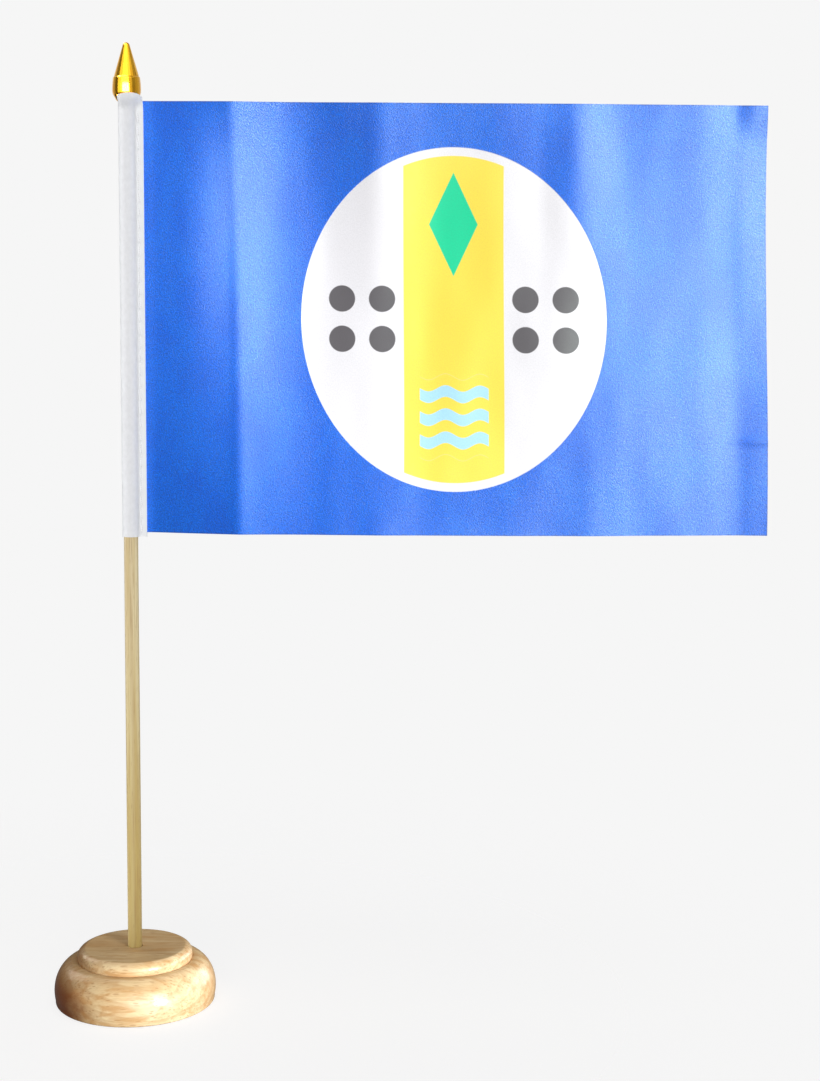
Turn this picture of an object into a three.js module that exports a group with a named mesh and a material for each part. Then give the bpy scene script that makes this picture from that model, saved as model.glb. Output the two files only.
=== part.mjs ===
// A desk flag stand: a turned wooden base, a dowel pole with a pointed cap, and a cloth flag sewn to a sleeve.
// Millimetres, +Z up. The origin is the centre of the base's underside, on the pole's axis.
// +X runs along the flag from the pole to its free end, and the flag's front faces -Y.
import * as THREE from "three";

// Base: a bead on top of a domed foot.
const BASE_HEIGHT = 19.3;
const BASE_RADIUS = 28.5;
const TOP_RADIUS = 17.7; // the flat disc on top
const BEAD_RADIUS = 20.3;
const BEAD_HEIGHT = 4.4;
const BEAD_ROUND_HEIGHT = 2.85; // half height of the ellipse that rounds the bead's edge
const BEAD_ROUND_END = 72; // degrees of that ellipse: the bead meets the flat top at a visible edge
const QUIRK = 0.3; // the small groove between the bead and the dome
const WAIST_Z = 4.7; // where the dome is widest
const FOOT_RADIUS = 28.1;
const FOOT_EASE = 0.7; // rounding of the lower edge
const SOCKET_RADIUS = 2.6;
const SOCKET_DEPTH = 12.9;

// Pole.
const STICK_RADIUS = 2.5;
const STICK_EASE = 0.4; // chamfer at both ends
const STICK_CLEARANCE = 0.2; // past each end, in the socket and in the cap's bore

// Pointed cap: a cone over a rounded collar, hollow from below.
const TIP_Z = 337.7;
const CAP_HEIGHT = 20.2;
const CAP_BORE_RADIUS = 2.6;
const CAP_BORE_DEPTH = 12.1;
const CAP_NOSE_RADIUS = 1.25;
const CAP_CONE_ANGLE = 17; // degrees between the cone's side and its axis
const CAP_COLLAR = [
  // radius and height above the rim, from the rim to the foot of the cone
  [3.5, 0],
  [4.7, 1.8],
  [4.95, 2.9],
  [4.95, 4.4],
  [4.8, 6.6],
  [4.5, 8.5],
];

// Flag.
const FLAG_HEIGHT = 150;
const FLAG_TOP_Z = 317.6;
const CLOTH_THICKNESS = 0.3;
const CLOTH_START_X = 3.45; // the hoist edge, tucked into the sleeve and caught by the seam
const CLOTH_END_X = 222.3; // the free edge
const CLOTH_STEPS = 60;
const FOLD_START_X = 8; // the cloth is flat up to here
const FOLD_EASE = 30; // and its folds are full depth this far on
const FOLDS = [
  { depth: 1.5, length: 118, shift: 0.4 },
  { depth: 1.1, length: 56, shift: 1.9 },
];

// Sleeve: a tape folded round the pole, its two ends closed on the cloth.
const SLEEVE_TOP_Z = 317.2;
const SLEEVE_BOTTOM_Z = 166.1;
const SLEEVE_INNER_RADIUS = 2.65;
const TAPE_THICKNESS = 0.3;
const TAPE_GAP = 0.25; // from the cloth's middle plane to the tape's inner face
const TAPE_LEAVE = 22; // extra degrees at which the tape leaves the pole
const TAPE_MEET = 0.6; // from the tube to where the tape's ends run side by side
const SLEEVE_END_X = 5.7;

// Seam.
const SEAM_X = 3.9;
const SEAM_INSET = 1.2; // from the sleeve's ends to the first and last stitch
const STITCH_PITCH = 4.6;
const STITCH_STEPS = 4;
const THREAD_RADIUS = 0.17;
const THREAD_SIDES = 6;
const THREAD_LIFT = 0.05; // least gap between the thread and the tape
const THREAD_RISE = 0.1; // how much further off the tape it is between two holes

const ROUND_STEPS = 48;
const SMALL_ROUND_STEPS = 32;

function point(x, y) {
  return new THREE.Vector2(x, y);
}

// Points on an ellipse's arc, from one angle to another in degrees.
function arc([x, y], [radiusX, radiusY], from, to, steps) {
  return Array.from({ length: steps + 1 }, (_, i) => {
    const angle = THREE.MathUtils.degToRad(THREE.MathUtils.lerp(from, to, i / steps));
    return point(x + radiusX * Math.cos(angle), y + radiusY * Math.sin(angle));
  });
}

// A solid of revolution about the Z axis, from an outline of radii and heights.
function turned(outline, steps) {
  return new THREE.LatheGeometry(outline, steps).rotateX(Math.PI / 2);
}

// A solid of one section all the way up.
function upright(outline, bottom, height) {
  const geometry = new THREE.ExtrudeGeometry(new THREE.Shape(outline), { depth: height, bevelEnabled: false });
  return geometry.translate(0, 0, bottom);
}

function baseGeometry() {
  const quirkZ = BASE_HEIGHT - BEAD_HEIGHT;
  const domeStart = BEAD_RADIUS + QUIRK;
  const socketZ = BASE_HEIGHT - SOCKET_DEPTH;
  const roundEnd = THREE.MathUtils.degToRad(BEAD_ROUND_END);
  const roundWidth = (BEAD_RADIUS - TOP_RADIUS) / (1 - Math.cos(roundEnd));
  const roundZ = BASE_HEIGHT - BEAD_ROUND_HEIGHT * Math.sin(roundEnd);
  const foot = arc([FOOT_RADIUS - FOOT_EASE, FOOT_EASE], [FOOT_EASE, FOOT_EASE], -90, 0, 3);
  const dome = arc([domeStart, WAIST_Z], [BASE_RADIUS - domeStart, quirkZ + QUIRK - WAIST_Z], 0, 90, 12);
  const bead = arc([BEAD_RADIUS - roundWidth, roundZ], [roundWidth, BEAD_ROUND_HEIGHT], 0, BEAD_ROUND_END, 6);
  const outline = [
    point(0, 0),
    ...foot,
    ...dome,
    point(BEAD_RADIUS - QUIRK, quirkZ),
    point(BEAD_RADIUS, quirkZ + QUIRK),
    ...bead,
    point(SOCKET_RADIUS, BASE_HEIGHT),
    point(SOCKET_RADIUS, socketZ),
    point(0, socketZ),
  ];
  return turned(outline, ROUND_STEPS);
}

function stickGeometry() {
  const bottom = BASE_HEIGHT - SOCKET_DEPTH + STICK_CLEARANCE;
  const top = TIP_Z - CAP_HEIGHT + CAP_BORE_DEPTH - STICK_CLEARANCE;
  const outline = [
    point(0, bottom),
    point(STICK_RADIUS - STICK_EASE, bottom),
    point(STICK_RADIUS, bottom + STICK_EASE),
    point(STICK_RADIUS, top - STICK_EASE),
    point(STICK_RADIUS - STICK_EASE, top),
    point(0, top),
  ];
  return turned(outline, SMALL_ROUND_STEPS);
}

function capGeometry() {
  const noseZ = CAP_HEIGHT - CAP_NOSE_RADIUS;
  const outline = [
    point(0, CAP_BORE_DEPTH),
    point(CAP_BORE_RADIUS, CAP_BORE_DEPTH),
    point(CAP_BORE_RADIUS, 0),
    ...CAP_COLLAR.map(([radius, height]) => point(radius, height)),
    ...arc([0, noseZ], [CAP_NOSE_RADIUS, CAP_NOSE_RADIUS], CAP_CONE_ANGLE, 90, 5),
  ];
  return turned(outline, SMALL_ROUND_STEPS).translate(0, 0, TIP_Z - CAP_HEIGHT);
}

// How far the cloth's middle plane lies behind y = 0.
function foldY(x) {
  const run = Math.max(0, x - FOLD_START_X);
  const wave = ({ depth, length, shift }) => depth * Math.sin((2 * Math.PI * run) / length + shift);
  return THREE.MathUtils.smoothstep(run, 0, FOLD_EASE) * FOLDS.reduce((sum, fold) => sum + wave(fold), 0);
}

function clothGeometry() {
  const middle = Array.from({ length: CLOTH_STEPS + 1 }, (_, i) => {
    const x = THREE.MathUtils.lerp(CLOTH_START_X, CLOTH_END_X, i / CLOTH_STEPS);
    return point(x, foldY(x));
  });
  const face = (offset) => middle.map(({ x, y }) => point(x, y + offset));
  const outline = [...face(-CLOTH_THICKNESS / 2), ...face(CLOTH_THICKNESS / 2).reverse()];
  return upright(outline, FLAG_TOP_Z - FLAG_HEIGHT, FLAG_HEIGHT);
}

// One face of the folded tape, from one end round the pole to the other.
function tapeFace(radius, gap) {
  const leave = THREE.MathUtils.radToDeg(Math.asin(gap / radius)) + TAPE_LEAVE;
  return [
    point(SLEEVE_END_X, gap),
    point(radius + TAPE_MEET, gap),
    ...arc([0, 0], [radius, radius], leave, 360 - leave, 28),
    point(radius + TAPE_MEET, -gap),
    point(SLEEVE_END_X, -gap),
  ];
}

function sleeveGeometry() {
  const outer = tapeFace(SLEEVE_INNER_RADIUS + TAPE_THICKNESS, TAPE_GAP + TAPE_THICKNESS);
  const inner = tapeFace(SLEEVE_INNER_RADIUS, TAPE_GAP);
  return upright([...outer, ...inner.reverse()], SLEEVE_BOTTOM_Z, SLEEVE_TOP_Z - SLEEVE_BOTTOM_Z);
}

// One seam thread, on the tape's front (side -1) or back (side 1).
function threadGeometry(side) {
  const bottom = SLEEVE_BOTTOM_Z + SEAM_INSET;
  const steps = Math.floor((SLEEVE_TOP_Z - SEAM_INSET - bottom) / STITCH_PITCH) * STITCH_STEPS;
  const low = TAPE_GAP + TAPE_THICKNESS + THREAD_LIFT + THREAD_RADIUS;
  const route = Array.from({ length: steps + 1 }, (_, i) => {
    const rise = THREAD_RISE * Math.sin((Math.PI * i) / STITCH_STEPS) ** 2;
    return new THREE.Vector3(SEAM_X, side * (low + rise), bottom + (i / STITCH_STEPS) * STITCH_PITCH);
  });
  const lastSide = 360 - 360 / THREAD_SIDES;
  const section = new THREE.Shape(arc([0, 0], [THREAD_RADIUS, THREAD_RADIUS], 0, lastSide, THREAD_SIDES - 1));
  return new THREE.ExtrudeGeometry(section, { steps, extrudePath: new THREE.CatmullRomCurve3(route) });
}

function material(color, roughness, metalness = 0) {
  return new THREE.MeshStandardMaterial({ color, roughness, metalness });
}

function piece(name, geometry, look) {
  const mesh = new THREE.Mesh(geometry, look);
  mesh.name = name;
  return mesh;
}

const flagStand = new THREE.Group();
flagStand.add(
  piece("base_block", baseGeometry(), material("#d9b47c", 0.25)),
  piece("stick", stickGeometry(), material("#dcc897", 0.6)),
  piece("finial_cap", capGeometry(), material("#e3b21c", 0.15, 1)),
  piece("flag_cloth", clothGeometry(), material("#2c6be0", 0.5)),
  piece("hoist_sleeve", sleeveGeometry(), material("#e6e9ed", 0.7)),
  piece("needle_thread", threadGeometry(-1), material("#ffffff", 0.6)),
  piece("bobbin_thread", threadGeometry(1), material("#ffffff", 0.6)),
);

export default flagStand;
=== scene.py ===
# A desk flag stand: the looks of each piece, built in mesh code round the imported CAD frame.
# Shapes are worked out in millimetres, in the frame's axes: +Z up the pole, +X along the flag, front to -Y.
import math

import bpy
import numpy as np
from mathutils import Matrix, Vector, noise


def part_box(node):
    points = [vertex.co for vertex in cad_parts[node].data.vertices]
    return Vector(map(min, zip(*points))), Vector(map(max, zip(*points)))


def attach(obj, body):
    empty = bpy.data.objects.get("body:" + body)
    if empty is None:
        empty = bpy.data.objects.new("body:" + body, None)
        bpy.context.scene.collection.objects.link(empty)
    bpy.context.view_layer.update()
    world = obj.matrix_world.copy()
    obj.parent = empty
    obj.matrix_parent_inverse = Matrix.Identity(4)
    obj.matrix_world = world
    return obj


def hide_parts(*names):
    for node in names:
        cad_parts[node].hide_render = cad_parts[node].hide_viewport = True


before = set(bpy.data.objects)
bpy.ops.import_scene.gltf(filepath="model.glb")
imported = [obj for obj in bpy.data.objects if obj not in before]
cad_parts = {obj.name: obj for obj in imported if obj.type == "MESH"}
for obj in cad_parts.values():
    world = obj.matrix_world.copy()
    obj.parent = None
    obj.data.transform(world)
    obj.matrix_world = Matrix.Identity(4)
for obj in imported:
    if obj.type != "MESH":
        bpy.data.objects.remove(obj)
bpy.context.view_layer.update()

MM = 0.001


def box_mm(node):
    """The lowest and highest corners of a CAD node, in millimetres."""
    return np.array([tuple(corner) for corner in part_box(node)]) / MM


BASE_HIGH = box_mm("base_block")[1]
STICK_LOW, STICK_HIGH = box_mm("stick")
CAP_LOW, CAP_HIGH = box_mm("finial_cap")
CLOTH_LOW, CLOTH_HIGH = box_mm("flag_cloth")
SLEEVE_LOW, SLEEVE_HIGH = box_mm("hoist_sleeve")

# Base, as in the CAD model.
BASE_HEIGHT = BASE_HIGH[2]
BASE_RADIUS = BASE_HIGH[0]
TOP_RADIUS = 17.7
BEAD_RADIUS = 20.3
BEAD_HEIGHT = 4.4
BEAD_ROUND_HEIGHT = 2.85
BEAD_ROUND_END = math.radians(72)
QUIRK = 0.2  # shallower than the CAD model's, as the lacquer fills it
WAIST_Z = 4.7
FOOT_RADIUS = 28.1
FOOT_EASE = 0.7
SOCKET_RADIUS = 2.6
SOCKET_DEPTH = 12.9
PITH_Y, PITH_Z = 16.0, -58.0  # where the tree's middle lay, which the growth rings run round
RING_PITCH = 3.4

# Pole.
STICK_END_EASE = 0.4

# Cap.
CAP_RIM_RADIUS = 3.5
CAP_RADIUS = 4.95
CAP_BORE_RADIUS = 2.6
CAP_BORE_DEPTH = 12.1
CAP_NOSE_RADIUS = 1.25
CAP_CONE_ANGLE = math.radians(17)

# Cloth and tape.
CLOTH_THICKNESS = 0.26
CLOTH_FLAT_WIDTH = 220
CLOTH_FLAT_HEIGHT = CLOTH_HIGH[2] - CLOTH_LOW[2]
CLOTH_STEP = 1.1  # the mesh's spacing
CLOTH_WEAVE = 0.42  # from one thread to the next but one
FLY_DROOP = 1.2
FLY_CREASE = 0.45  # how far a small level crease at the free edge stands out
FLY_CREASE_HEIGHT = 33
FLY_CREASE_SPREAD = 1.3
OVAL = (53.3, 59.8)  # half the white oval's width and height
OVAL_RIM = 3.0  # left white outside the yellow band
YELLOW_HALF_WIDTH = 17.5
DOTS_FROM_MIDDLE, DOT_SPACING, DOT_RADIUS = 32, 14, 4.6
TAPE_THICKNESS = 0.28
TAPE_WEAVE = 0.45
TAPE_GAP = 0.4  # from the cloth's middle plane to the tape's
TUBE_RADIUS = 2.8  # the tape's middle surface, round the pole
SEAM_X = 3.9
STITCH_PITCH = 4.6
FIRST_HOLE = 1.2  # up from the tape's lower edge
THREAD_RADIUS = 0.17
THREAD_SINK = 0.12  # from the cloth's middle plane to a thread's middle, in a hole
LIP_TOP_RISE = 3.1  # the tape's front rides up over the cap's rim this far
LIP_RADIUS = 5.25
LIP_REACH = 10  # how far down from the top the tape stretches into the lip


# ---------------------------------------------------------------- outlines and meshes


def lerp(a, b, t):
    return a + (b - a) * t


def smoothstep(low, high, value):
    t = np.clip((value - low) / (high - low), 0.0, 1.0)
    return t * t * (3 - 2 * t)


def arc(centre, radii, start, end, steps):
    """Points on an ellipse's arc, from one angle to another in radians."""
    angles = np.linspace(start, end, steps + 1)
    return [(centre[0] + radii[0] * math.cos(a), centre[1] + radii[1] * math.sin(a)) for a in angles]


def eased(before, corner, after, ease, steps=5):
    """A corner rounded by a curve that starts and ends a distance of ease from it."""
    before, corner, after = (np.array(p, float) for p in (before, corner, after))
    start = corner + (before - corner) / np.linalg.norm(before - corner) * ease
    end = corner + (after - corner) / np.linalg.norm(after - corner) * ease
    shares = np.linspace(0, 1, steps + 1)
    return [tuple(lerp(lerp(start, corner, t), lerp(corner, end, t), t)) for t in shares]


def subdivided(points, step):
    """The same outline with no stretch longer than step."""
    made = [points[0]]
    for a, b in zip(points, points[1:]):
        count = max(1, math.ceil(math.dist(a, b) / step))
        made += [tuple(lerp(np.array(a), np.array(b), i / count)) for i in range(1, count + 1)]
    return made


def mesh_object(name, points_mm, faces, smooth=True):
    mesh = bpy.data.meshes.new(name)
    mesh.from_pydata((np.asarray(points_mm) * MM).tolist(), [], faces)
    mesh.validate()
    mesh.polygons.foreach_set("use_smooth", [smooth] * len(mesh.polygons))
    mesh.set_sharp_from_angle(angle=math.radians(50))
    mesh.update()
    piece = bpy.data.objects.new(name, mesh)
    bpy.context.scene.collection.objects.link(piece)
    return piece


def turned(name, outline, segments, shaped=None):
    """A solid of revolution. The outline's radii and heights start and end on the axis.
    shaped(radius, angle, height) gives the radius at a point, for a surface that isn't perfectly round."""
    angles = np.arange(segments) * 2 * math.pi / segments
    points = [(0, 0, outline[0][1])]
    for radius, height in outline[1:-1]:
        for angle in angles:
            r = shaped(radius, angle, height) if shaped else radius
            points.append((r * math.cos(angle), r * math.sin(angle), height))
    points.append((0, 0, outline[-1][1]))
    last, rings = len(points) - 1, len(outline) - 2
    faces = []
    for i in range(segments):
        j = (i + 1) % segments
        faces.append((0, 1 + j, 1 + i))
        faces.append((last, last - segments + i, last - segments + j))
        for k in range(rings - 1):
            low, high = 1 + k * segments, 1 + (k + 1) * segments
            faces.append((low + i, low + j, high + j, high + i))
    return mesh_object(name, points, faces)


def solid_sheet(name, middle, flat, thickness):
    """A closed thin sheet from its middle surface, a grid of points (u, v, 3), with each point's place on the
    flat cut kept in the attribute flat_mm."""
    count_u, count_v = middle.shape[:2]
    along_u, along_v = np.gradient(middle, axis=0), np.gradient(middle, axis=1)
    normal = np.cross(along_u, along_v)
    normal /= np.linalg.norm(normal, axis=2, keepdims=True)
    offset = normal * thickness / 2
    points = np.concatenate([(middle + offset).reshape(-1, 3), (middle - offset).reshape(-1, 3)])
    back = count_u * count_v
    index = np.arange(back).reshape(count_u, count_v)
    corners = [index[:-1, :-1], index[1:, :-1], index[1:, 1:], index[:-1, 1:]]
    quads = np.stack(corners, axis=-1).reshape(-1, 4)
    rim = np.concatenate([index[:-1, 0], index[-1, :-1], index[:0:-1, -1], index[0, :0:-1]])
    ahead = np.roll(rim, -1)
    sides = np.stack([ahead, rim, rim + back, ahead + back], axis=1)
    faces = np.concatenate([quads, quads[:, ::-1] + back, sides]).tolist()
    piece = mesh_object(name, points, faces)
    place = piece.data.attributes.new("flat_mm", "FLOAT_VECTOR", "POINT")
    one_side = np.concatenate([flat.reshape(-1, 2), np.zeros((back, 1))], axis=1)
    place.data.foreach_set("vector", np.concatenate([one_side, one_side]).astype(np.float32).ravel())
    return piece


def tube_along(name, route, radius, sides):
    """A closed round tube along a route of points in millimetres, which runs mostly along Z."""
    route = np.asarray(route, float)
    ahead = np.gradient(route, axis=0)
    ahead /= np.linalg.norm(ahead, axis=1, keepdims=True)
    across = np.cross(ahead, np.array([1.0, 0, 0]))
    across /= np.linalg.norm(across, axis=1, keepdims=True)
    third = np.cross(ahead, across)
    angles = np.arange(sides) * 2 * math.pi / sides
    rings = [
        route[i] + radius * (np.outer(np.cos(angles), across[i]) + np.outer(np.sin(angles), third[i]))
        for i in range(len(route))
    ]
    faces = [tuple(range(sides))[::-1]]
    for k in range(len(route) - 1):
        for i in range(sides):
            j = (i + 1) % sides
            faces.append((k * sides + i, k * sides + j, (k + 1) * sides + j, (k + 1) * sides + i))
    faces.append(tuple((len(route) - 1) * sides + i for i in range(sides)))
    return mesh_object(name, np.concatenate(rings), faces)


def wander(x, y, z=0.0):
    """Smooth noise from -1 to 1, the same at every run."""
    return noise.noise(Vector((x, y, z)))


# ---------------------------------------------------------------- material graphs


class Look:
    """A material with one Principled shader, and short ways to add the nodes that feed it."""

    def __init__(self, name, **constants):
        self.material = bpy.data.materials.new(name)
        self.material.use_nodes = True
        self.tree = self.material.node_tree
        self.shader = self.tree.nodes["Principled BSDF"]
        for socket, value in constants.items():
            self.shader.inputs[socket.replace("_", " ")].default_value = value

    def node(self, kind, inputs=(), **settings):
        made = self.tree.nodes.new("ShaderNode" + kind)
        for key, value in settings.items():
            setattr(made, key, value)
        for socket, value in dict(inputs).items():
            self.feed(made.inputs[socket], value)
        return made

    def feed(self, socket, value):
        if isinstance(value, bpy.types.NodeSocket):
            self.tree.links.new(value, socket)
        else:
            socket.default_value = value

    def to_shader(self, socket, value):
        self.tree.links.new(value, self.shader.inputs[socket])

    def math(self, operation, a, b=0.0):
        return self.node("Math", {0: a, 1: b}, operation=operation).outputs[0]

    def length(self, a, b):
        return self.math("SQRT", self.math("ADD", self.math("POWER", a, 2.0), self.math("POWER", b, 2.0)))

    def axes(self, vector):
        return self.node("SeparateXYZ", {0: vector}).outputs

    def ramp(self, value, low, high, to_low=0.0, to_high=1.0):
        inputs = {0: value, 1: low, 2: high, 3: to_low, 4: to_high}
        return self.node("MapRange", inputs, interpolation_type="SMOOTHSTEP").outputs[0]

    def blend(self, share, first, second, how="MIX"):
        made = self.node("Mix", data_type="RGBA", blend_type=how, clamp_factor=True)
        for socket, value in zip((made.inputs[0], made.inputs[6], made.inputs[7]), (share, first, second)):
            self.feed(socket, value)
        return made.outputs[2]

    def millimetres(self, scale=(1, 1, 1), location=(0, 0, 0)):
        """Object coordinates in millimetres, stretched by scale."""
        place = self.node("TexCoord").outputs["Object"]
        inputs = {"Vector": place, "Scale": [s / MM for s in scale], "Location": location}
        return self.node("Mapping", inputs).outputs[0]

    def stretched(self, vector, scale_x, scale_y):
        return self.node("Mapping", {"Vector": vector, "Scale": (scale_x, scale_y, 1)}).outputs[0]

    def noise(self, vector, scale=1.0, detail=3.0, roughness=0.5, distortion=0.0):
        inputs = {"Vector": vector, "Scale": scale, "Detail": detail, "Roughness": roughness}
        inputs["Distortion"] = distortion
        return self.node("TexNoise", inputs).outputs[0]

    def bump(self, height, distance, strength=1.0, onto=None):
        inputs = {"Strength": strength, "Distance": distance, "Height": height}
        made = self.node("Bump", inputs)
        if onto is not None:
            self.tree.links.new(onto, made.inputs["Normal"])
        return made.outputs[0]


def srgb(red, green, blue):
    """A display colour of 0 to 255 as the linear colour that nodes take."""
    parts = [c / 255 for c in (red, green, blue)]
    return (*[p / 12.92 if p <= 0.04045 else ((p + 0.055) / 1.055) ** 2.4 for p in parts], 1.0)


def vessel_lines(look, scale, outer, inner, rarity):
    """Short dark lines along the grain, in cells picked by rarity: 1 within inner, fading out to outer."""
    cells = look.node("TexVoronoi", {"Vector": look.millimetres(scale), "Scale": 1.0}, feature="F1")
    chance = look.node("SeparateColor", {0: cells.outputs["Color"]}).outputs[0]
    chosen = look.ramp(chance, rarity, rarity + 0.05)
    return look.math("MULTIPLY", look.ramp(cells.outputs["Distance"], outer, inner), chosen)


def base_wood():
    """Pale lacquered hardwood: rings and fibres along X, short vessel lines and darker end grain, with
    painted shade low on the left, in the quirk and on the top face.
    """
    look = Look("lacquered_hardwood", Specular_IOR_Level=0.9, Coat_Roughness=0.1, Coat_IOR=1.4)
    slow = look.noise(look.millimetres((0.012, 0.05, 0.05)), 1.0, 2.0)
    axes = look.axes(look.millimetres())
    from_pith = look.length(look.math("SUBTRACT", axes[1], PITH_Y), look.math("SUBTRACT", axes[2], PITH_Z))
    ring_distance = look.math("ADD", from_pith, look.math("MULTIPLY", slow, 11.0))
    ring_place = look.math("FRACT", look.math("DIVIDE", ring_distance, RING_PITCH))
    late_wood = look.math("MULTIPLY", look.ramp(ring_place, 0.35, 0.92), look.ramp(ring_place, 1.0, 0.93))
    fibre = look.noise(look.millimetres((0.05, 1.6, 1.6)), 1.0, 4.0, 0.65)
    streak = look.noise(look.millimetres((0.02, 0.35, 0.35), (40, 0, 0)), 1.0, 3.0, 0.55)
    patch = look.noise(look.millimetres((0.03, 0.05, 0.05), (0, 9, 0)), 1.0, 2.0)
    colour = look.blend(look.ramp(patch, 0.35, 0.65), srgb(233, 204, 154), srgb(245, 223, 178))
    colour = look.blend(look.ramp(streak, 0.42, 0.68, 0.0, 0.6), colour, srgb(216, 180, 128))
    colour = look.blend(look.math("MULTIPLY", late_wood, 0.26), colour, srgb(184, 128, 66))
    colour = look.blend(look.ramp(fibre, 0.45, 0.75, 0.0, 0.4), colour, srgb(190, 142, 88))
    vessel = vessel_lines(look, (0.19, 1.2, 1.2), 0.36, 0.16, 0.3)
    colour = look.blend(look.math("MULTIPLY", vessel, 0.5), colour, srgb(168, 106, 50))
    mottle = look.noise(look.millimetres((0.07, 0.4, 0.4), (7, 3, 5)), 1.0, 4.0, 0.6, 0.4)
    colour = look.blend(look.ramp(mottle, 0.45, 0.68, 0.0, 0.7), colour, srgb(204, 150, 86))
    facing_x, _, facing_z = look.axes(look.node("TexCoord").outputs["Normal"])
    end_grain = look.ramp(look.math("ABSOLUTE", facing_x), 0.55, 1.0)
    colour = look.blend(look.math("MULTIPLY", end_grain, 0.3), colour, srgb(186, 132, 78))
    # Painted shade: the base is darker and more orange low down on the left, the side the lights leave in
    # shade.
    left_shade_place = look.math("ADD", axes[0], look.math("MULTIPLY", streak, 12.0))
    painted_left_shade = look.math("MULTIPLY", look.ramp(left_shade_place, -4.0, -17.0), look.ramp(axes[2], 14.5, 6.5))
    colour = look.blend(painted_left_shade, colour, srgb(154, 86, 24))
    # Painted shade: a faint darker line along the quirk under the bead.
    to_quirk_r = look.math("SUBTRACT", look.length(axes[0], axes[1]), BEAD_RADIUS)
    to_quirk_z = look.math("SUBTRACT", axes[2], BASE_HEIGHT - BEAD_HEIGHT)
    to_quirk = look.length(to_quirk_r, to_quirk_z)
    colour = look.blend(look.ramp(to_quirk, 1.0, 0.2, 0.0, 0.12), colour, srgb(150, 96, 50))
    top_face = look.ramp(facing_z, 0.93, 0.99)  # sanded flat, with less lacquer on it, and duller; its darker colour is painted shade
    # Painted shade: the top face darker and yellower than the sides, as less light falls on it.
    colour = look.blend(look.math("MULTIPLY", top_face, 0.4), colour, srgb(178, 144, 88))
    look.to_shader("Base Color", colour)
    grain_gloss = look.ramp(fibre, 0.3, 0.7, 0.34, 0.5)
    look.to_shader("Roughness", look.math("ADD", grain_gloss, look.math("MULTIPLY", top_face, 0.22)))
    look.to_shader("Coat Weight", look.ramp(top_face, 0, 1, 0.6, 0.15))
    height = look.math("SUBTRACT", look.math("MULTIPLY", fibre, 0.4), look.math("MULTIPLY", vessel, 1.0))
    look.to_shader("Normal", look.bump(height, 0.00004, 0.6))
    peel = look.noise(look.millimetres((0.35, 0.35, 0.35)), 1.0, 1.0)
    look.to_shader("Coat Normal", look.bump(peel, 0.00005, 0.5, look.bump(height, 0.00002, 0.5)))
    return look.material


def stick_wood():
    """Pale sanded dowel, yellower towards its foot: fibres and fine vessel lines that run up the pole."""
    look = Look("dowel_wood", Coat_Weight=0.12, Coat_Roughness=0.3)
    fibre = look.noise(look.millimetres((2.2, 2.2, 0.05)), 1.0, 4.0, 0.6)
    broad = look.noise(look.millimetres((0.5, 0.5, 0.012)), 1.0, 2.0)
    patch = look.ramp(broad, 0.35, 0.65)
    height = look.axes(look.millimetres())[2]
    yellower = look.blend(patch, srgb(188, 168, 106), srgb(172, 148, 82))
    paler = look.blend(patch, srgb(214, 200, 160), srgb(200, 180, 134))
    colour = look.blend(look.ramp(height, 30, 170), yellower, paler)
    colour = look.blend(look.ramp(fibre, 0.48, 0.72, 0.0, 0.6), colour, srgb(150, 114, 66))
    vessel = vessel_lines(look, (2.6, 2.6, 0.2), 0.24, 0.1, 0.6)
    colour = look.blend(look.math("MULTIPLY", vessel, 0.45), colour, srgb(146, 104, 58))
    look.to_shader("Base Color", colour)
    look.to_shader("Roughness", look.ramp(fibre, 0.3, 0.7, 0.42, 0.6))
    relief = look.math("SUBTRACT", fibre, vessel)
    look.to_shader("Normal", look.bump(relief, 0.00005, 0.7))
    return look.material


def gold_skin():
    """Vacuum-metallised plastic: a bright yellow metal skin, a little wavy, with small pits."""
    look = Look("metallised_gold", Metallic=1.0, Coat_Weight=0.5, Coat_Roughness=0.08)
    place = look.millimetres()
    tone = look.noise(look.millimetres((0.4, 0.4, 0.25)), 1.0, 2.0)
    colour = look.blend(look.ramp(tone, 0.35, 0.65), srgb(249, 190, 28), srgb(246, 179, 20))
    cells = look.node("TexVoronoi", {"Vector": place, "Scale": 0.55}, feature="F1")
    pit = look.ramp(cells.outputs["Distance"], 0.1, 0.05)
    colour = look.blend(look.math("MULTIPLY", pit, 0.6), colour, srgb(120, 84, 16))
    look.to_shader("Base Color", colour)
    scuff = look.noise(look.millimetres((3, 3, 0.6)), 1.0, 4.0, 0.7)
    look.to_shader("Roughness", look.ramp(scuff, 0.4, 0.8, 0.11, 0.22))
    wave = look.noise(place, 0.5, 1.0)
    height = look.math("SUBTRACT", wave, look.math("MULTIPLY", pit, 0.5))
    look.to_shader("Normal", look.bump(height, 0.00012, 0.14))
    return look.material


def weave(look, flat, pitch):
    """A plain weave's height over the flat cut, and a fine random speckle."""
    axes = look.axes(flat)
    turns = 2 * math.pi / pitch
    warp = look.math("SINE", look.math("MULTIPLY", axes[0], turns))
    weft = look.math("SINE", look.math("MULTIPLY", axes[1], turns))
    slub = look.noise(look.stretched(flat, 0.5, 3.0), 1.0, 2.0)
    crossing = look.math("MULTIPLY", warp, weft)
    return look.math("ADD", crossing, look.math("MULTIPLY", slub, 0.8))


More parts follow.
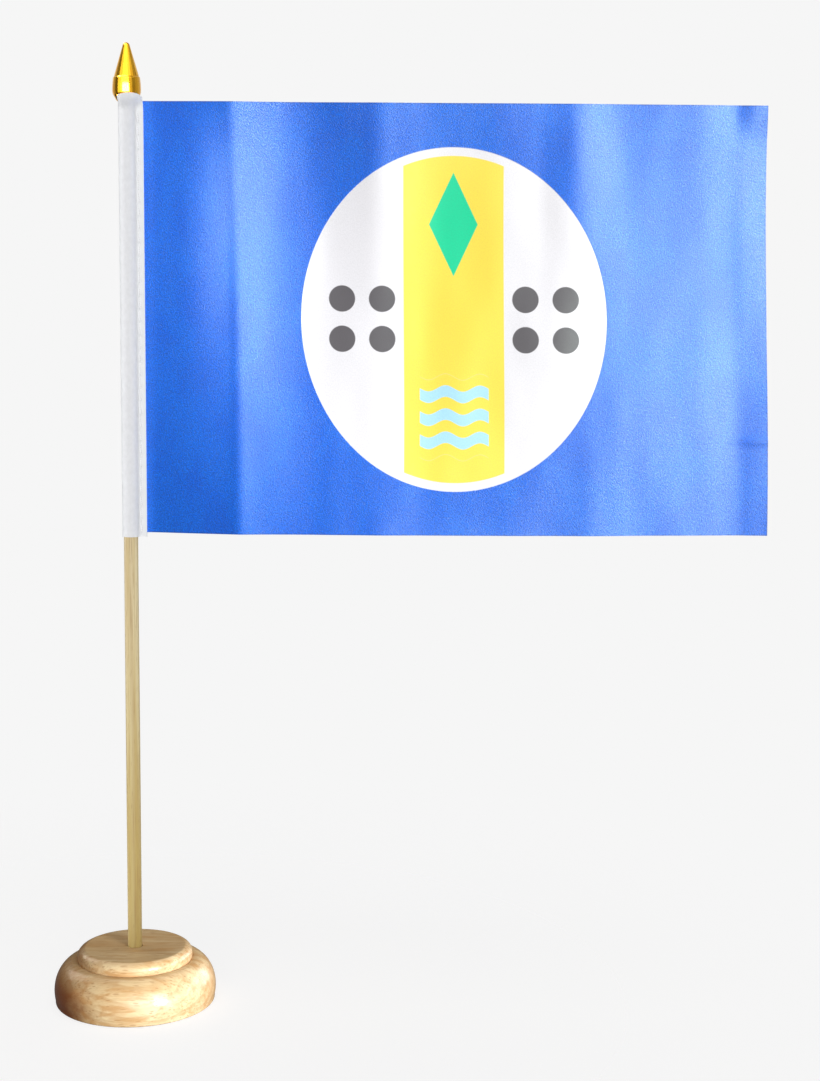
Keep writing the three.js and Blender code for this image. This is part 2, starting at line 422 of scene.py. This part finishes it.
class Print:
    """Printed shapes on the flat cut, each a mask that is 1 inside and 0 outside, with a soft edge."""

    EDGE = 0.3  # in millimetres

    def __init__(self, look, flat, centre):
        self.look = look
        middle = look.node("VectorMath", {0: flat, 1: (*centre, 0)}, operation="SUBTRACT").outputs[0]
        self.x, self.y, _ = look.axes(middle)

    def inside(self, beyond):
        """The mask of a distance that is below 0 inside the shape."""
        return self.look.ramp(beyond, self.EDGE / 2, -self.EDGE / 2)

    def oval(self, half_width, half_height):
        math_ = self.look.math
        out = self.look.length(math_("DIVIDE", self.x, half_width), math_("DIVIDE", self.y, half_height))
        return self.inside(math_("MULTIPLY", math_("SUBTRACT", out, 1.0), (half_width + half_height) / 2))

    def upright_band(self, half_width):
        return self.inside(self.look.math("SUBTRACT", self.look.math("ABSOLUTE", self.x), half_width))

    def at(self, x, y):
        """The distances from a shape's own centre."""
        return self.look.math("SUBTRACT", self.x, x), self.look.math("SUBTRACT", self.y, y)

    def lozenge(self, centre, half_width, half_height):
        math_ = self.look.math
        x, y = (math_("ABSOLUTE", value) for value in self.at(*centre))
        share = math_("ADD", math_("DIVIDE", x, half_width), math_("DIVIDE", y, half_height))
        return self.inside(math_("MULTIPLY", math_("SUBTRACT", share, 1.0), half_width * 0.9))

    def four_dots(self, centre, spacing, radius):
        math_ = self.look.math
        x, y = (math_("SUBTRACT", math_("ABSOLUTE", value), spacing / 2) for value in self.at(*centre))
        return self.inside(math_("SUBTRACT", self.look.length(x, y), radius))

    def wavy_bars(self, centre, half_width, half_height, pitch):
        math_ = self.look.math
        x, y = self.at(*centre)
        sway = math_("MULTIPLY", math_("SINE", math_("MULTIPLY", x, 2 * math.pi / 12)), 1.1)
        turn = math_("MULTIPLY", math_("ADD", y, sway), 2 * math.pi / pitch)
        bars = self.look.ramp(math_("COSINE", turn), -0.12, 0.12)
        wide = self.inside(math_("SUBTRACT", math_("ABSOLUTE", x), half_width))
        high = self.inside(math_("SUBTRACT", math_("ABSOLUTE", math_("ADD", y, sway)), half_height))
        return math_("MULTIPLY", bars, math_("MULTIPLY", wide, high))


def printed_cloth():
    """Blue polyester satin with a white oval, which holds a plain yellow band and four simple shapes."""
    look = Look("printed_polyester", IOR=1.6, Specular_IOR_Level=1.0, Specular_Tint=(0.82, 1.0, 0.9, 1))
    flat = look.node("Attribute", attribute_name="flat_mm").outputs["Vector"]
    cloud = look.noise(look.stretched(flat, 0.9, 0.9), 1.0, 3.0, 0.7)
    colour = look.blend(look.ramp(cloud, 0.3, 0.7), srgb(4, 96, 219), srgb(13, 109, 231))
    patch = look.noise(look.stretched(flat, 0.06, 0.04), 1.0, 3.0, 0.6, 0.6)
    colour = look.blend(look.ramp(patch, 0.35, 0.65, 0.0, 0.5), colour, srgb(0, 84, 210))
    marks = Print(look, flat, (CLOTH_FLAT_WIDTH / 2, CLOTH_FLAT_HEIGHT / 2))
    white_oval = marks.oval(*OVAL)
    inner_oval = marks.oval(OVAL[0] - OVAL_RIM, OVAL[1] - OVAL_RIM)
    yellow = look.math("MULTIPLY", inner_oval, marks.upright_band(YELLOW_HALF_WIDTH))
    layers = [
        (white_oval, srgb(235, 234, 239)),
        (yellow, srgb(250, 226, 80)),
        (marks.lozenge((0, 33), 8.5, 18), srgb(5, 217, 158)),
        (marks.four_dots((-DOTS_FROM_MIDDLE, 0), DOT_SPACING, DOT_RADIUS), srgb(96, 91, 97)),
        (marks.four_dots((DOTS_FROM_MIDDLE, 0), DOT_SPACING, DOT_RADIUS), srgb(96, 91, 97)),
        (marks.wavy_bars((0, -34), 12, 14, 8), srgb(175, 226, 252)),
    ]
    for mask, ink in layers:
        colour = look.blend(mask, colour, ink)
    fleck = look.noise(look.stretched(flat, 2.3, 2.0), 1.0, 2.0, 0.6, 0.5)
    x, y, _ = look.axes(flat)
    to_fly = look.math("SUBTRACT", CLOTH_FLAT_WIDTH, x)
    to_top = look.math("SUBTRACT", CLOTH_FLAT_HEIGHT, y)
    to_edge = look.math("MINIMUM", look.math("MINIMUM", to_fly, to_top), y)
    sealed = look.ramp(to_edge, 0.2, 0.5, 0.72, 1.0)  # the heat-cut edge is darker
    darkest = look.ramp(white_oval, 0, 1, 0.62, 0.85)
    lightest = look.ramp(white_oval, 0, 1, 1.16, 0.93)
    shade = look.math("MULTIPLY", look.ramp(fleck, 0.3, 0.7, darkest, lightest), sealed)
    grey = look.node("CombineColor", {0: shade, 1: shade, 2: shade}).outputs[0]
    colour = look.blend(1.0, colour, grey, "MULTIPLY")
    look.to_shader("Base Color", colour)
    woven = look.math("MULTIPLY", weave(look, flat, CLOTH_WEAVE), 0.4)
    fleck_height = look.math("MULTIPLY", fleck, look.ramp(white_oval, 0, 1, 4.0, 0.8))
    height = look.math("ADD", woven, fleck_height)
    look.to_shader("Roughness", look.ramp(fleck, 0.3, 0.7, 0.46, 0.32))
    look.to_shader("Normal", look.bump(height, 0.00003, 0.8))
    return look.material


def white_tape(tape_width):
    """White woven tape, greyer round the pole than in the strip along each end, whose edge is scalloped."""
    look = Look("white_polyester", Roughness=0.55, Sheen_Weight=0.15, Sheen_Roughness=0.4)
    flat = look.node("Attribute", attribute_name="flat_mm").outputs["Vector"]
    across, height, _ = look.axes(flat)
    cloud = look.noise(look.stretched(flat, 0.8, 0.5), 1.0, 3.0, 0.6)
    colour = look.blend(look.ramp(cloud, 0.3, 0.7), srgb(229, 231, 235), srgb(235, 237, 241))
    from_end = look.math("MINIMUM", across, look.math("SUBTRACT", tape_width, across))
    turn = look.math("MULTIPLY", look.math("SUBTRACT", height, FIRST_HOLE), math.pi / STITCH_PITCH)
    arch = look.math("POWER", look.math("ABSOLUTE", look.math("SINE", turn)), 0.6)
    scallop = look.math("MULTIPLY", arch, 0.5)
    beyond = look.math("SUBTRACT", from_end, look.math("ADD", scallop, 1.75))
    colour = look.blend(look.ramp(beyond, 0.12, -0.12), colour, srgb(241, 244, 247))
    look.to_shader("Base Color", colour)
    look.to_shader("Normal", look.bump(weave(look, flat, TAPE_WEAVE), 0.00004, 0.7))
    return look.material


def seam_thread():
    """White two-ply sewing thread: the plies' twist is a slanted ribbing along it."""
    look = Look("sewing_thread", Roughness=0.5, Sheen_Weight=0.3)
    wave = look.node("TexWave", {"Vector": look.millimetres(), "Scale": 0.9}, bands_direction="DIAGONAL")
    twist = wave.outputs[1]
    colour = look.blend(look.ramp(twist, 0.2, 0.8), srgb(226, 228, 232), srgb(250, 250, 250))
    look.to_shader("Base Color", colour)
    look.to_shader("Normal", look.bump(twist, 0.00004, 0.8))
    return look.material


# ---------------------------------------------------------------- the pieces


def finished(piece, material, body, node):
    piece.data.materials.append(material)
    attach(piece, body)
    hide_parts(node)
    return piece


def make_base():
    quirk_z = BASE_HEIGHT - BEAD_HEIGHT
    dome_start = BEAD_RADIUS + QUIRK
    round_width = (BEAD_RADIUS - TOP_RADIUS) / (1 - math.cos(BEAD_ROUND_END))
    round_z = BASE_HEIGHT - BEAD_ROUND_HEIGHT * math.sin(BEAD_ROUND_END)
    socket_z = BASE_HEIGHT - SOCKET_DEPTH
    foot = arc((FOOT_RADIUS - FOOT_EASE, FOOT_EASE), (FOOT_EASE, FOOT_EASE), -math.pi / 2, 0, 6)
    dome_radii = (BASE_RADIUS - dome_start, quirk_z + QUIRK - WAIST_Z)
    dome = arc((dome_start, WAIST_Z), dome_radii, -0.35, math.pi / 2, 40)
    dome = [(min(r, BASE_RADIUS), z) for r, z in dome if z > FOOT_EASE + 0.6]
    bead = arc((BEAD_RADIUS - round_width, round_z), (round_width, BEAD_ROUND_HEIGHT), 0, BEAD_ROUND_END, 14)
    quirk = eased(dome[-1], (BEAD_RADIUS - QUIRK, quirk_z), (BEAD_RADIUS, quirk_z + QUIRK), 0.16)
    wall = eased(quirk[-1], (BEAD_RADIUS, quirk_z + QUIRK), bead[1], 0.12)
    top_edge = eased(bead[-2], bead[-1], (SOCKET_RADIUS, BASE_HEIGHT), 0.28)
    mouth = eased(bead[-1], (SOCKET_RADIUS, BASE_HEIGHT), (SOCKET_RADIUS, socket_z), 0.1)
    bottom = eased((SOCKET_RADIUS, BASE_HEIGHT), (SOCKET_RADIUS, socket_z), (0, socket_z), 0.2)
    outline = [(0, 0), *foot, *dome, *quirk, *wall, *bead[1:-1], *top_edge, *mouth, *bottom, (0, socket_z)]
    piece = turned("turned_base", subdivided(outline, 1.2), 160)
    return finished(piece, base_wood(), "base", "base_block")


def make_stick():
    radius, low, high = STICK_HIGH[0], STICK_LOW[2], STICK_HIGH[2]
    foot, top = (radius, low), (radius, high)
    start = eased((0, low), foot, top, STICK_END_EASE, 4)
    end = eased(foot, top, (0, high), STICK_END_EASE, 4)
    outline = subdivided([(0, low), *start, *end, (0, high)], 1.6)

    def sanded(r, angle, height):
        fibres = wander(7 * math.cos(angle), 7 * math.sin(angle), height * 0.05)
        flats = wander(1.2 * math.cos(angle), 1.2 * math.sin(angle), height * 0.012)
        return r * (1 - 0.006 * abs(fibres) - 0.008 * abs(flats))

    piece = turned("dowel_pole", outline, 56, sanded)
    return finished(piece, stick_wood(), "pole", "stick")


def make_cap():
    """A cone with a round nose over a collar: the collar has a soft shoulder above and a bevel at its rim."""
    rim, height = CAP_LOW[2], CAP_HIGH[2] - CAP_LOW[2]
    bevel = [(CAP_RIM_RADIUS, 0), *arc((CAP_RADIUS - 1.6, 3.7), (1.6, 2.6), -0.9, 0, 8)]
    wall = arc((CAP_RADIUS - 3.4, 3.7), (3.4, 10.6), 0.04, 0.4, 8)
    shoulder = arc((wall[-1][0] - 0.3, wall[-1][1]), (0.3, 0.55), 0.15, 1.35, 6)
    cone_foot = (shoulder[-1][0] - 0.1, shoulder[-1][1] + 0.1)
    nose_z = height - CAP_NOSE_RADIUS
    nose = arc((0, nose_z), (CAP_NOSE_RADIUS, CAP_NOSE_RADIUS), CAP_CONE_ANGLE, math.pi / 2, 12)
    bore_end = [(CAP_BORE_RADIUS - 0.3, CAP_BORE_DEPTH), (CAP_BORE_RADIUS, CAP_BORE_DEPTH - 0.3)]
    bore = [(0, CAP_BORE_DEPTH), *bore_end]
    mouth = [(CAP_BORE_RADIUS, 0.15), (CAP_BORE_RADIUS + 0.15, 0), (CAP_RIM_RADIUS - 0.15, 0)]
    outline = subdivided([*bore, *mouth, *bevel[1:], *wall, *shoulder, cone_foot, *nose], 0.5)
    outline = [(r, z + rim) for r, z in outline]

    def moulded(r, angle, z):
        """Two faint parting lines of the mould, left and right of the front."""
        line = math.exp(-((abs(math.cos(angle)) - 1) / 0.0018) ** 2)
        return r + (0.035 * line if r > CAP_BORE_RADIUS + 0.2 and z < rim + height - 1.5 else 0)

    piece = turned("pointed_cap", outline, 144, moulded)
    return finished(piece, gold_skin(), "cap", "finial_cap")


# The cloth's slope in plan, which is how fast it comes forward along the flag, is an even trend plus bands.
# Each band runs from one distance to another and fades in and out over the given widths. Its top is nearer
# the fly than its bottom by lean, and its slopes are at four heights, bottom to top. A slope below 0 turns
# the cloth to the light.
HOIST_SLOPE, FLY_SLOPE, TREND_START = 0.045, -0.045, 75
BAND_HEIGHTS = (0, 0.25, 0.6, 1)
BANDS = [
    {"from": -8, "in": 1, "to": 5, "out": 4, "lean": 0, "slopes": (0.03, -0.03, -0.08, -0.08)},
    {"from": -8, "in": 1, "to": 34.5, "out": 3, "lean": 0, "slopes": (0.13, 0.06, 0.0, 0.01)},
    {"from": 11, "in": 14, "to": 31.5, "out": 3, "lean": 1, "slopes": (-0.02, -0.05, -0.17, -0.02)},
    {"from": 30.5, "in": 2.5, "to": 70, "out": 32, "lean": -3, "slopes": (-0.12, -0.2, -0.28, -0.27)},
    {"from": 62, "in": 8, "to": 85, "out": 9, "lean": 0, "slopes": (-0.05, -0.04, 0.02, -0.01)},
    {"from": 77, "in": 9, "to": 105, "out": 13, "lean": 2, "slopes": (-0.11, -0.08, -0.08, -0.12)},
    {"from": 98, "in": 10, "to": 150, "out": 10, "lean": 3, "slopes": (-0.08, 0.0, 0.04, -0.03)},
    {"from": 34, "in": 12, "to": 150, "out": 12, "lean": 0, "slopes": (0.04, 0.03, 0.02, 0.01)},
    {"from": 136, "in": 5, "to": 152, "out": 5, "lean": 0, "slopes": (0.01, 0.0, 0.03, 0.05)},
    {"from": 149, "in": 9, "to": 174, "out": 14, "lean": -5, "slopes": (-0.09, -0.06, -0.12, -0.14)},
    {"from": 160, "in": 8, "to": 208.5, "out": 6, "lean": 0, "slopes": (-0.04, -0.06, -0.06, -0.02)},
    {"from": 192, "in": 7, "to": 208.5, "out": 3, "lean": 2, "slopes": (0.0, -0.03, -0.03, -0.08)},
    {"from": 206.5, "in": 4, "to": 240, "out": 4, "lean": 0, "slopes": (0.11, 0.05, -0.07, -0.02)},
]
TREND_LENGTH = 142
CORNER_SLOPE = 0.16  # added at the top fly corner


def cloth_slope(run, up):
    """The cloth's slope at a distance along the flat cut and a share of its height."""
    slope = HOIST_SLOPE + (FLY_SLOPE - HOIST_SLOPE) * np.clip((run - TREND_START) / TREND_LENGTH, 0, 1)
    for band in BANDS:
        at = run - band["lean"] * (up - 0.5)
        inside = smoothstep(band["from"], band["from"] + band["in"], at)
        inside = inside * (1 - smoothstep(band["to"] - band["out"], band["to"], at))
        slope = slope + np.polyval(np.polyfit(BAND_HEIGHTS, band["slopes"], 3), up) * inside
    corner = smoothstep(205.5, 208, run) * (1 - smoothstep(210, 215, run)) * smoothstep(0.9, 0.99, up)
    return slope + CORNER_SLOPE * corner


def cloth_ripples(run, height):
    """Fine uneven ripples, stretched up and down, and fuller towards the free edge."""
    ripple = np.array([
        0.4 * wander(r / 24, h / 60, 3.1) + 0.12 * wander(r / 9, h / 22, 8.4)
        for r, h in zip(run.ravel(), height.ravel())
    ]).reshape(run.shape)
    return ripple * smoothstep(2, 40, run) * (0.6 + 0.6 * run / CLOTH_FLAT_WIDTH)


def make_cloth():
    count_u, count_v = round(CLOTH_FLAT_WIDTH / CLOTH_STEP), round(CLOTH_FLAT_HEIGHT / CLOTH_STEP)
    across = np.linspace(0, CLOTH_FLAT_WIDTH, count_u + 1)
    up = np.linspace(0, CLOTH_FLAT_HEIGHT, count_v + 1)
    flat_u, flat_v = np.meshgrid(across, up, indexing="ij")
    hoist_part = SLEEVE_HIGH[0] - CLOTH_LOW[0]  # held flat between the tape's two ends
    run = np.maximum(0, flat_u - hoist_part)
    cell = CLOTH_FLAT_WIDTH / count_u
    free = smoothstep(0, 4, run)
    ripples = np.gradient(cloth_ripples(run, flat_v), axis=0) / cell
    slope = free * (cloth_slope(run, flat_v / CLOTH_FLAT_HEIGHT) + ripples)
    ahead = np.cos(np.arctan(slope)) * cell
    middle = np.zeros((*flat_u.shape, 3))
    middle[1:, :, 0] = np.cumsum((ahead[1:] + ahead[:-1]) / 2, axis=0)
    middle[1:, :, 1] = -np.cumsum((slope[1:] * ahead[1:] + slope[:-1] * ahead[:-1]) / 2, axis=0)
    share = flat_u / CLOTH_FLAT_WIDTH
    middle[:, :, 0] += CLOTH_LOW[0]
    crease = np.exp(-(((flat_v - FLY_CREASE_HEIGHT) / FLY_CREASE_SPREAD) ** 2))
    middle[:, :, 1] -= FLY_CREASE * smoothstep(202, 214, run) * crease
    middle[:, :, 2] = CLOTH_LOW[2] + flat_v - FLY_DROOP * share**1.2
    piece = solid_sheet("printed_flag", middle, np.stack([flat_u, flat_v], axis=-1), CLOTH_THICKNESS)
    return finished(piece, printed_cloth(), "flag", "flag_cloth")


def tape_path(count):
    """The folded tape's middle line seen from above, from its front end round the pole to its back end."""
    leave = math.radians(26)
    start = np.array((SLEEVE_HIGH[0], -TAPE_GAP))
    touch = TUBE_RADIUS * np.array((math.cos(leave), -math.sin(leave)))
    bend = np.array((SEAM_X - 0.35, -TAPE_GAP))
    tangent = np.array((math.sin(leave), math.cos(leave)))
    handles = [bend, bend + np.array((-0.55, 0)), touch + 0.45 * tangent, touch]
    curve = []
    for t in np.linspace(0, 1, 12):
        weights = [(1 - t) ** 3, 3 * t * (1 - t) ** 2, 3 * t * t * (1 - t), t**3]
        curve.append(tuple(sum(w * h for w, h in zip(weights, handles))))
    half = [tuple(start), *curve, *arc((0, 0), (TUBE_RADIUS,) * 2, -leave, -math.pi, 40)[1:]]
    whole = np.array(half + [(x, -y) for x, y in reversed(half[:-1])])
    lengths = np.concatenate([[0], np.cumsum(np.linalg.norm(np.diff(whole, axis=0), axis=1))])
    even = np.linspace(0, lengths[-1], count)
    return np.stack([np.interp(even, lengths, whole[:, k]) for k in (0, 1)], axis=1), even


def seam_holes():
    first = SLEEVE_LOW[2] + FIRST_HOLE
    count = math.floor((SLEEVE_HIGH[2] - FIRST_HOLE - first) / STITCH_PITCH)
    return first + STITCH_PITCH * np.arange(count + 1)


def make_sleeve():
    """The tape, puckered at the stitch holes, with its front riding up over the cap's rim."""
    section, along = tape_path(64)
    holes = seam_holes()
    step = STITCH_PITCH / 5
    low, high = SLEEVE_LOW[2], SLEEVE_HIGH[2]
    rows = np.linspace(low, high, round((high - low) / step) + 1)
    middle_of = along[-1] / 2
    front = np.clip(1 - along / middle_of, 0, 1)  # 1 at the front end, 0 at the pole's far side and behind
    lift = LIP_TOP_RISE * np.clip(1 - ((1 - front - 0.42) / 0.58) ** 2, 0, 1) * smoothstep(0.12, 0.32, front)
    lip_angle = np.radians(lerp(-4, -168, 1 - front))
    lip = LIP_RADIUS * np.stack([np.cos(lip_angle), np.sin(lip_angle)], axis=1)
    middle = np.zeros((len(section), len(rows), 3))
    for k, row in enumerate(rows):
        rise = max(0.0, 1 - (high - row) / LIP_REACH)
        z = row + lift * rise**1.5
        bulge = smoothstep(high - 2.6, high + 2.2, z) * smoothstep(0.08, 0.32, front)
        xy = lerp(section, lip, bulge[:, None])
        sway = np.array([0.07 * wander(x * 0.5, y * 0.5, row * 0.09) for x, y in section])
        out = xy / np.linalg.norm(xy, axis=1, keepdims=True)
        round_part = smoothstep(TUBE_RADIUS + 0.6, TUBE_RADIUS - 0.6, section[:, 0])
        xy = xy + out * ((sway + 0.05) * round_part)[:, None]
        to_hole = np.min(np.abs(holes - row)) / STITCH_PITCH
        at_hole = math.cos(math.pi * to_hole) ** 4
        from_seam = section[:, 0] - SEAM_X
        pucker = at_hole * np.exp(-((from_seam / 0.55) ** 2))
        quilt = 0.16 * (1 - at_hole) * np.exp(-((from_seam / 1.4) ** 2))
        xy[:, 1] += np.sign(xy[:, 1]) * (quilt - 0.08 * pucker)
        middle[:, k, :2] = xy
        middle[:, k, 2] = z
    ragged = np.array([0.35 * wander(a * 0.35, 5.5) for a in along])
    middle[:, :, 2] += ragged[:, None] * smoothstep(low + 5, low, rows)[None, :]
    flat = np.stack(np.meshgrid(along, rows - low, indexing="ij"), axis=-1)
    piece = solid_sheet("sleeve_tape", middle, flat, TAPE_THICKNESS)
    finished(piece, white_tape(along[-1]), "flag", "hoist_sleeve")
    return piece, along[-1]


def make_thread(name, node, side, material):
    """One lockstitch thread: up over the tape between holes and down into each hole."""
    holes, steps = seam_holes(), 10
    over = TAPE_GAP + TAPE_THICKNESS / 2 + THREAD_RADIUS + 0.1
    route = []
    for k in range(len(holes) - 1):
        for i in range(steps):
            t = i / steps
            height = lerp(holes[k], holes[k + 1], t)
            dip = abs(2 * t - 1) ** 5  # 1 at a hole, 0 between two
            lie = over * (1 - dip) + THREAD_SINK * dip
            slant = 0.12 * math.sin(2 * math.pi * t) + 0.05 * wander(k * 1.7, side)
            route.append((SEAM_X + slant, side * lie, height))
    route.append((SEAM_X, side * THREAD_SINK, holes[-1]))
    piece = tube_along(name, route, THREAD_RADIUS, 8)
    return finished(piece, material, "flag", node)


# ---------------------------------------------------------------- stage, light and camera


def lights_only(source, pieces):
    group = bpy.data.collections.new(f"lit_by_{source.name}")
    for piece in pieces:
        group.objects.link(piece)
    source.light_linking.receiver_collection = group


def softbox(name, aim, azimuth, elevation, distance, size, power, lit, colour=(1, 1, 1)):
    """A soft rectangular light aimed at a place, and flagged off from every piece but those in lit.
    Its azimuth is in degrees from the front, positive to the right."""
    light = bpy.data.lights.new(name, "AREA")
    light.shape = "RECTANGLE"
    light.size, light.size_y = size
    light.energy = power
    light.color = colour
    made = bpy.data.objects.new(name, light)
    bpy.context.scene.collection.objects.link(made)
    turn, rise = math.radians(azimuth), math.radians(elevation)
    outward = Vector((math.sin(turn) * math.cos(rise), -math.cos(turn) * math.cos(rise), math.sin(rise)))
    made.location = Vector(aim) + distance * outward
    made.rotation_mode = "QUATERNION"
    made.rotation_quaternion = outward.to_track_quat("Z", "Y")
    lights_only(made, lit)


def make_floor():
    """A pale floor with a glow of its own, which thins out into the background away from the stand."""
    look = Look("pale_floor", Roughness=0.9, Emission_Strength=1.0)
    look.shader.inputs["Base Color"].default_value = (0.22, 0.22, 0.22, 1)
    look.shader.inputs["Emission Color"].default_value = (0.808, 0.808, 0.808, 1)
    place = look.node("TexCoord").outputs["Object"]
    far = look.node("VectorMath", {0: place}, operation="LENGTH").outputs["Value"]
    fade = look.ramp(far, 0.07, 0.3)
    clear = look.node("BsdfTransparent")
    mix = look.node("MixShader", {0: fade, 1: look.shader.outputs[0], 2: clear.outputs[0]})
    look.tree.links.new(mix.outputs[0], look.tree.nodes["Material Output"].inputs["Surface"])
    ring = [(400 * math.cos(a), 400 * math.sin(a), 0) for a in np.arange(64) * 2 * math.pi / 64]
    floor = mesh_object("floor", ring, [tuple(range(64))], smooth=False)
    floor.data.materials.append(look.material)
    return floor


# How bright the cap's surroundings are, in even steps all round it from the back by way of the left: a low
# ring, which its collar mirrors, and a high one, which its cone does, each with its elevation in degrees.
CAP_TENT_START, CAP_TENT_STEP = -172, 30
CAP_TENT = {
    0: (0.8, 0.8, 0.4, 0.08, 1.5, 2.8, 3.0, 0.7, 0.25, 0.4, 0.5, 0.7),
    38: (0.9, 0.8, 0.35, 0.15, 1.3, 2.1, 2.2, 1.6, 0.8, 0.4, 0.45, 0.6),
}


def make_light():
    world = bpy.data.worlds.new("studio")
    world.use_nodes = True
    bpy.context.scene.world = world
    nodes, links = world.node_tree.nodes, world.node_tree.links
    room = nodes["Background"]
    room.inputs["Color"].default_value = (0.06, 0.05, 0.04, 1)
    room.inputs["Strength"].default_value = 1.0
    seen = nodes.new("ShaderNodeBackground")
    seen.inputs["Color"].default_value = srgb(246, 246, 246)
    path = nodes.new("ShaderNodeLightPath")
    mix = nodes.new("ShaderNodeMixShader")
    links.new(path.outputs["Is Camera Ray"], mix.inputs[0])
    links.new(room.outputs[0], mix.inputs[1])
    links.new(seen.outputs[0], mix.inputs[2])
    links.new(mix.outputs[0], nodes["World Output"].inputs["Surface"])
    flag_middle, pole_middle = (0.1, 0, 0.24), (0, 0, 0.25)
    cap_middle, base_middle = (0, 0, 0.33), (0, 0, 0.01)
    softbox("flag_key", flag_middle, 68, 30, 4.0, (2.0, 2.0), 420, [cloth])
    softbox("flag_strip", flag_middle, 32, 0, 2.5, (0.5, 1.6), 45, [cloth])
    softbox("flag_back", flag_middle, 180, 8, 2.6, (4.0, 3.0), 90, [cloth])
    softbox("flag_back_side", flag_middle, 240, 6, 3.0, (2.4, 1.8), 34, [cloth])
    softbox("front_panel", pole_middle, 0, 0, 1.7, (1.5, 1.5), 28, upright + [floor])
    softbox("left_fill", pole_middle, -92, 3, 1.4, (0.8, 1.0), 13, upright)
    softbox("right_fill", pole_middle, 92, 3, 1.4, (0.8, 1.0), 9, upright)
    softbox("back_panel", pole_middle, 180, 8, 1.7, (1.5, 1.5), 14, upright)
    softbox("base_front", base_middle, 38, 24, 1.3, (0.3, 0.3), 2.3, [base])
    softbox("base_wide", base_middle, 24, 20, 1.5, (1.5, 1.0), 10.5, [base])
    softbox("base_low", base_middle, 24, 2, 1.3, (1.2, 0.4), 3.6, [base])
    softbox("base_right", base_middle, 88, 12, 1.3, (0.7, 0.7), 3.9, [base])
    softbox("base_rim", base_middle, 125, 14, 1.3, (0.9, 0.7), 8.0, [base])
    softbox("base_left", base_middle, -75, 4, 1.3, (0.8, 0.8), 2.3, [base], (1.0, 0.62, 0.3))
    softbox("base_back", base_middle, 180, 62, 1.3, (0.8, 0.6), 1.3, [base], (1.0, 0.96, 0.86))
    softbox("base_back_left", base_middle, 232, 35, 1.3, (0.6, 0.6), 2.4, [base], (1.0, 0.85, 0.72))
    for turn in (-4.5, 4.5):
        softbox(f"window_pane_{turn > 0:d}", base_middle, 42 + turn, 6, 0.6, (0.07, 0.15), 1.5, [base])
    softbox("overhead", (0.05, 0, 0), 0, 90, 1.4, (1.2, 1.2), 6.5, upright + [floor])
    lights_only(floor, [stick])  # the floor's own glow
    for rise, glows in CAP_TENT.items():
        for k, glow in enumerate(glows):
            size = (0.54 * math.cos(math.radians(rise)), 0.7)
            power = math.pi * size[0] * size[1] * glow
            turn = CAP_TENT_START + CAP_TENT_STEP * k
            softbox(f"cap_tent_{rise}_{k}", cap_middle, turn, rise, 1.0, size, power, [cap])
    softbox("cap_glow", cap_middle, 0, 0, 1.0, (1.0, 0.42), 34, [cap])
    softbox("cap_sky", cap_middle, -40, 68, 1.0, (1.0, 0.8), 12, [cap])
    softbox("cap_window", cap_middle, -92, 52, 1.0, (0.3, 0.3), 9, [cap])
    softbox("cap_below", cap_middle, -85, -45, 0.3, (0.12, 0.12), 0.8, [cap])


def make_camera():
    data = bpy.data.cameras.new("camera")
    camera = bpy.data.objects.new("camera", data)
    bpy.context.scene.collection.objects.link(camera)
    bpy.context.scene.camera = camera
    data.sensor_width = 36
    data.lens = 71.9
    data.shift_x = 0.002
    data.shift_y = -0.15
    camera.location = (0.097, -0.75, 0.28)
    camera.rotation_euler = (math.radians(90 - 4.45), 0, 0)
    data.clip_start = 0.01
    data.clip_end = 20


make_camera()
base = make_base()
stick = make_stick()
cap = make_cap()
cloth = make_cloth()
sleeve, tape_width = make_sleeve()
thread_look = seam_thread()
front_thread = make_thread("front_seam_thread", "needle_thread", -1, thread_look)
back_thread = make_thread("back_seam_thread", "bobbin_thread", 1, thread_look)
upright = [stick, sleeve, front_thread, back_thread]
floor = make_floor()
make_light()
bpy.context.scene.view_settings.view_transform = "Standard"
